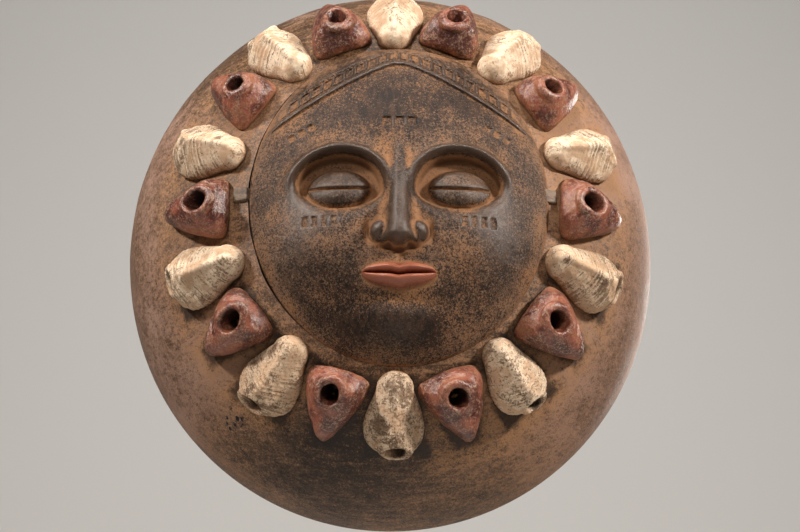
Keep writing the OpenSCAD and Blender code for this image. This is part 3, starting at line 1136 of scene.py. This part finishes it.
def white_finish():
    f = Finish("white_clay_paint", {"Specular IOR Level": 0.3})
    medium = f.cloud(0.012, 4, 0.6)
    fine = f.cloud(0.0045, 5, 0.75, 1.0)
    speck = f.cloud(0.0012, 3, 0.8)
    age_and_low_shade = f.attribute("age_and_low_shade")
    join = f.node("ShaderNodeCombineXYZ")
    for socket, name in zip(join.inputs, ("arc", "across", "height")):
        f.plug(socket, f.attribute(name))
    arcs = f.cloud(0.22, 5, 0.65, 0.3, f.stretched((1.6, 0.14, 0.3), join.outputs[0]))
    hollow = f.attribute("hollow")
    base = f.grade("caa888", "f3dcbf", f.step(medium, 0.4, 0.6))
    # Darker tan where the pod's tone value is high, which takes in painted shade on the pods low on the ring.
    base = f.cover(base, "a98865", f.step(f.add(age_and_low_shade, (medium, 1.0)), 0.0, 0.45), 0.6)
    streak = f.add(age_and_low_shade, (arcs, 3.0), (speck, 1.6), (medium, 2.0))
    pitted = f.attribute("pitted")
    streak = f.step(f.add(streak, f.times(f.attribute("along"), 0.25), f.times(pitted, -0.3)), 0.1, 0.45)
    base = f.cover(base, "6b4c34", streak, 0.7)
    stain = f.add(f.times(pitted, 0.5), (medium, 3.4), (fine, 2.2), (speck, 1.6))
    base = f.cover(base, "6f5038", f.step(stain, 0.35, 0.95), 0.7)
    spots = f.step(f.add(f.times(pitted, 0.3), (fine, 2.6), (speck, 2.4)), 0.3, 0.6)
    base = f.cover(base, "5f4530", spots, 0.7)
    # Painted shade in the hollows.
    worn = f.step(f.add(hollow, (speck, 2.0)), 0.3, 0.9)
    base = f.cover(base, "4a3423", worn, 0.75)
    dust = f.step(f.add(f.attribute("height"), (medium, -0.9), (speck, -1.6)), 0.35, -0.15)
    base = f.cover(base, "ab8058", dust, 0.75)
    # Painted shade in a band round the pod's foot.
    base = f.cover(base, "2b1a10", f.step(f.attribute("height"), 0.14, -0.02), 0.75)
    # Grey along the polished ridge: partly worn paint and partly painted highlight.
    ridge = f.step(f.add(f.times(hollow, -1.0), (medium, 2.0), (speck, 1.6)), 0.55, 1.2)
    base = f.cover(base, "8d7a69", ridge, 0.6)
    # Painted shade inside the mouth.
    hole = f.step(f.add(f.attribute("mouth"), (speck, 0.4)), 1.0, 0.7)
    base = f.cover(base, "1d120d", hole, 0.9)
    rough = f.add(0.55, f.times(fine, 0.2), f.times(ridge, -0.25))
    height = f.add(f.times(fine, 0.8), f.times(arcs, 0.6), f.times(speck, 0.4))
    return f.finish(base, rough, height, 0.6, 0.0007)


def tab_finish():
    f = Finish("tab_wood", {"Specular IOR Level": 0.4})
    grain = f.cloud(0.003, 5, 0.6, 0.3, f.stretched((0.2, 1, 1)))
    fine = f.cloud(0.0012, 4, 0.7)
    base = f.grade("5d5046", "85715f", f.step(grain, 0.42, 0.62))
    base = f.cover(base, "a07a56", f.step(fine, 0.5, 0.65), 0.5)
    return f.finish(base, f.add(0.5, f.times(fine, 0.2)), f.add(fine, grain), 0.5, 0.0005)


def peg_finish():
    f = Finish("peg_wood", {"Specular IOR Level": 0.35})
    grain = f.cloud(0.002, 5, 0.6, 0.3, f.stretched((1, 0.15, 1)))
    base = f.grade("8a6238", "b08a5a", f.step(grain, 0.42, 0.62))
    return f.finish(base, f.add(0.55, f.times(grain, 0.2)), grain, 0.4, 0.0004)


# ---- building

board = make_board(board_finish())
face = make_face(face_finish())
tab_wood = tab_finish()
for side in ("left", "right"):
    make_tab(side, tab_wood)
red_paint, white_clay = red_finish(), white_finish()
for number in range(POD_COUNT):
    if number % 2:
        make_pod(f"carved_red_pod_{number // 2 + 1:02d}", number, "red", red_paint)
    else:
        make_pod(f"carved_white_pod_{number // 2 + 1:02d}", number, "white", white_clay)
peg_wood = peg_finish()
for node in ("pod_pegs", "face_pegs"):
    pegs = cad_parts[node]
    pegs.data.materials.clear()
    pegs.data.materials.append(peg_wood)


# ---- camera, lights and floor

VIEW_BELOW = math.radians(21)
VIEW_DISTANCE = 1.724
VIEW_ACROSS = 0.0065
VIEW_UP = -0.0031


def add_camera():
    """A long lens a little above the mask, looking down at it."""
    towards = Vector((0, -math.cos(VIEW_BELOW), -math.sin(VIEW_BELOW)))
    up = Vector((0, -math.sin(VIEW_BELOW), math.cos(VIEW_BELOW)))
    right = Vector((1, 0, 0))
    data = bpy.data.cameras.new("camera")
    data.sensor_width = 36
    data.lens = 115
    camera = bpy.data.objects.new("camera", data)
    place = towards * VIEW_DISTANCE + right * VIEW_ACROSS + up * VIEW_UP
    camera.matrix_world = Matrix.Translation(place) @ Matrix((right, up, towards)).transposed().to_4x4()
    link(camera)
    bpy.context.scene.camera = camera


def add_light(name, place, aim, size, watts, tint=(1, 1, 1)):
    """A round lamp size metres across."""
    data = bpy.data.lights.new(name, "AREA")
    data.shape = "DISK"
    data.size = size
    data.energy = watts
    data.color = tint
    light = link(bpy.data.objects.new(name, data))
    light.location = place
    light.rotation_euler = (Vector(aim) - Vector(place)).to_track_quat("-Z", "Y").to_euler()


def add_floor():
    """A pale sheet that runs along the floor and curves up behind."""
    profile = [(-5.0, -1.5), (1.6, -1.5)]
    turns = np.linspace(0.1, math.pi / 2, 12)
    profile += [(1.6 + 1.4 * math.sin(t), -0.1 - 1.4 * math.cos(t)) for t in turns]
    profile += [(3.0, 4.0)]
    mesh = bpy.data.meshes.new("floor")
    verts = [(x, y, z) for y, z in profile for x in (-5, 5)]
    faces = [(2 * i, 2 * i + 1, 2 * i + 3, 2 * i + 2) for i in range(len(profile) - 1)]
    mesh.from_pydata(verts, [], faces)
    mesh.shade_smooth()
    floor = link(bpy.data.objects.new("floor", mesh))
    f = Finish("pale_paper", {"Roughness": 0.9})
    f.plug(f.shader.inputs["Base Color"], (0.75, 0.73, 0.7, 1))
    mesh.materials.append(f.material)


add_camera()
WARM = (1.0, 0.94, 0.88)
add_light("overhead", (-0.1, -0.8, 1.5), (0, -0.05, 0), 0.25, 17, WARM)
add_light("front", (-0.2, -1.95, 0.9), (0, 0, 0), 0.3, 10, WARM)
add_light("left", (-1.3, -0.85, 0.85), (0, -0.05, 0), 0.2, 24, WARM)
add_light("right", (1.35, -0.85, 0.65), (0, -0.05, 0), 0.2, 31, WARM)
add_light("wall", (0.0, 1.0, 1.6), (0, 3, 0.4), 1.0, 14)
add_light("behind", (0.95, 1.7, 0.5), (0, 0, 0), 0.8, 16, WARM)
add_floor()

world = bpy.data.worlds.new("room")
world.use_nodes = True
background = world.node_tree.nodes["Background"]
background.inputs["Color"].default_value = (0.9, 0.92, 0.95, 1)
background.inputs["Strength"].default_value = 0.06
bpy.context.scene.world = world
bpy.context.scene.view_settings.view_transform = "Standard"
